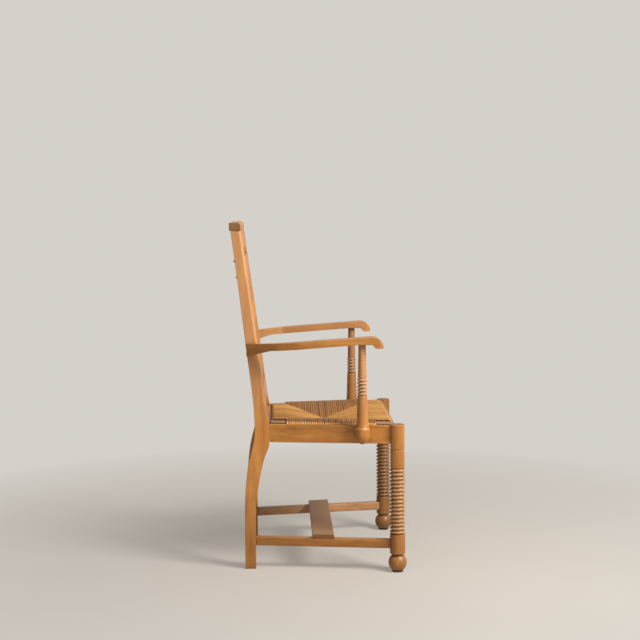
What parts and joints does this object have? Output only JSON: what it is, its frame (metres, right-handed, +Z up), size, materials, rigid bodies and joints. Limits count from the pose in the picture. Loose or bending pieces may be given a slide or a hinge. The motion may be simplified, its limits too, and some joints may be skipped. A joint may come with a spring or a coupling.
{
  "type": "rush seat armchair",
  "caption": "Oak armchair with beaded turned front legs, raked sawn rear posts, spindle back, scrolled arms on turned posts and a woven rush seat.",
  "frame": {"origin": "on the floor under the middle of the chair's bounding box", "axes": "+Z up, the chair faces -Y, +X is the sitter's left"},
  "size_m": [0.571, 0.4984, 0.998],
  "materials": {
    "oak": "waxed golden oak",
    "seat_wood": "bare greyed timber",
    "rush": "twisted rush cord",
    "glide": "matte black",
    "steel": "plain steel"
  },
  "bodies": {
    "root": {"arm_left": "oak", "arm_post_left": "oak", "arm_post_right": "oak", "arm_post_screws": "steel", "arm_right": "oak", "arm_screws": "steel", "back_pegs": "oak", "back_spindle_1": "oak", "back_spindle_2": "oak", "back_spindle_3": "oak", "back_spindle_4": "oak", "crest_dowels": "oak", "crest_rail": "oak", "cross_stretcher": "oak", "cross_stretcher_screws": "steel", "front_apron": "oak", "front_foot_glides": "glide", "front_leg_left": "oak", "front_leg_right": "oak", "glide_nails": "steel", "lower_back_rail": "oak", "rear_apron": "oak", "rear_leg_left": "oak", "rear_leg_right": "oak", "rush_seat": "rush", "seat_frame_front": "seat_wood", "seat_frame_left": "seat_wood", "seat_frame_rear": "seat_wood", "seat_frame_right": "seat_wood", "side_apron_left": "oak", "side_apron_right": "oak", "side_stretcher_left": "oak", "side_stretcher_right": "oak", "upper_back_rail": "oak"}
  },
  "joints": []
}
